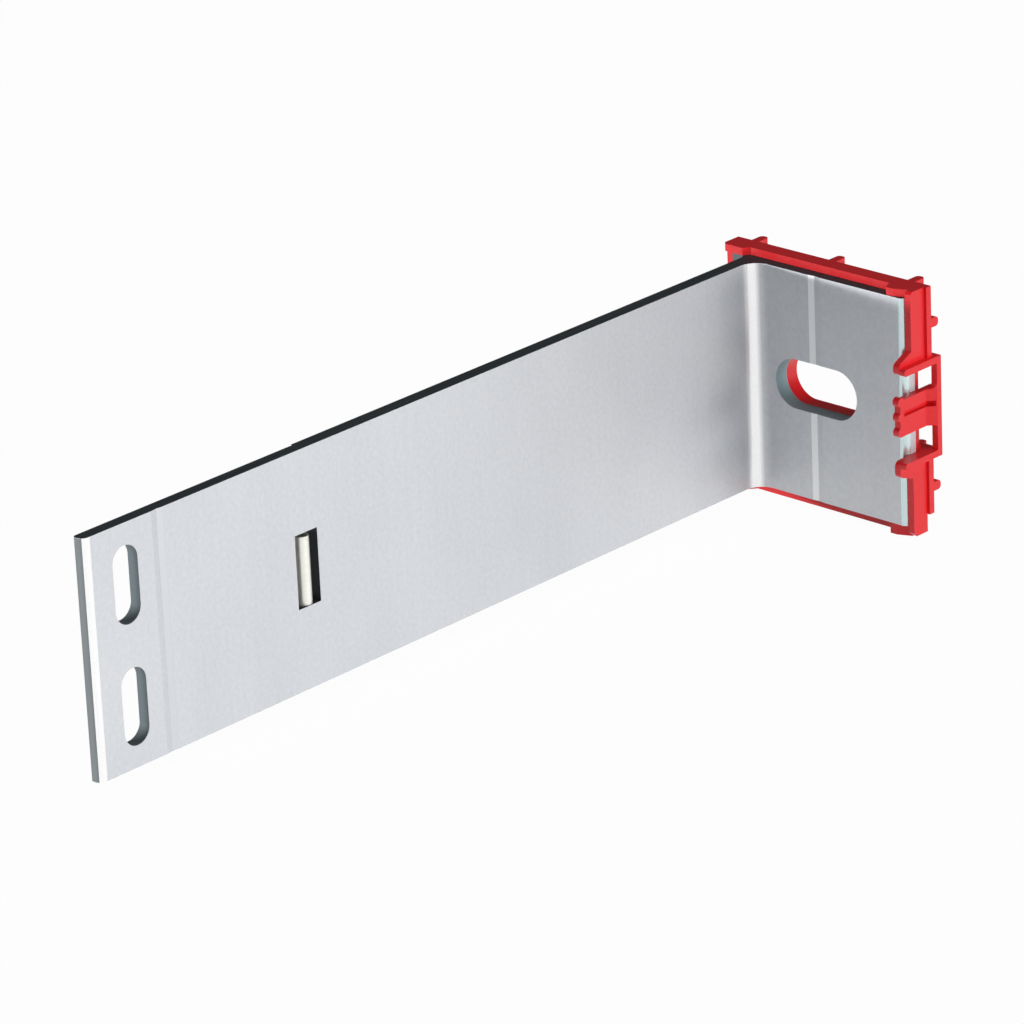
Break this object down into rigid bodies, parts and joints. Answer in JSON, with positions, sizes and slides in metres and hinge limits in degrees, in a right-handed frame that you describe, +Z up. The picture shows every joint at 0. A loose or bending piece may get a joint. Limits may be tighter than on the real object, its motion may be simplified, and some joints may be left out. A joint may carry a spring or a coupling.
{
  "type": "cladding bracket",
  "caption": "L-shaped extruded aluminium wall bracket: a slotted foot with a red plastic isolator clipped behind it, and a long leg with end slots and a window that holds a spring clip.",
  "frame": {"origin": "the middle of the anchor slot on the wall face of the isolator", "axes": "+X along the foot away from the leg, +Y into the wall, so the leg reaches along -Y, +Z up along the extrusion"},
  "size_m": [0.0527, 0.201, 0.0542],
  "materials": {
    "bracket": "satin mill finish, as extruded",
    "isolator": "red moulded plastic, soft gloss",
    "spring_clip": "thin stainless spring strip, warm tone"
  },
  "bodies": {
    "root": {"bracket": "bracket", "isolator": "isolator", "spring_clip": "spring_clip"}
  },
  "joints": []
}
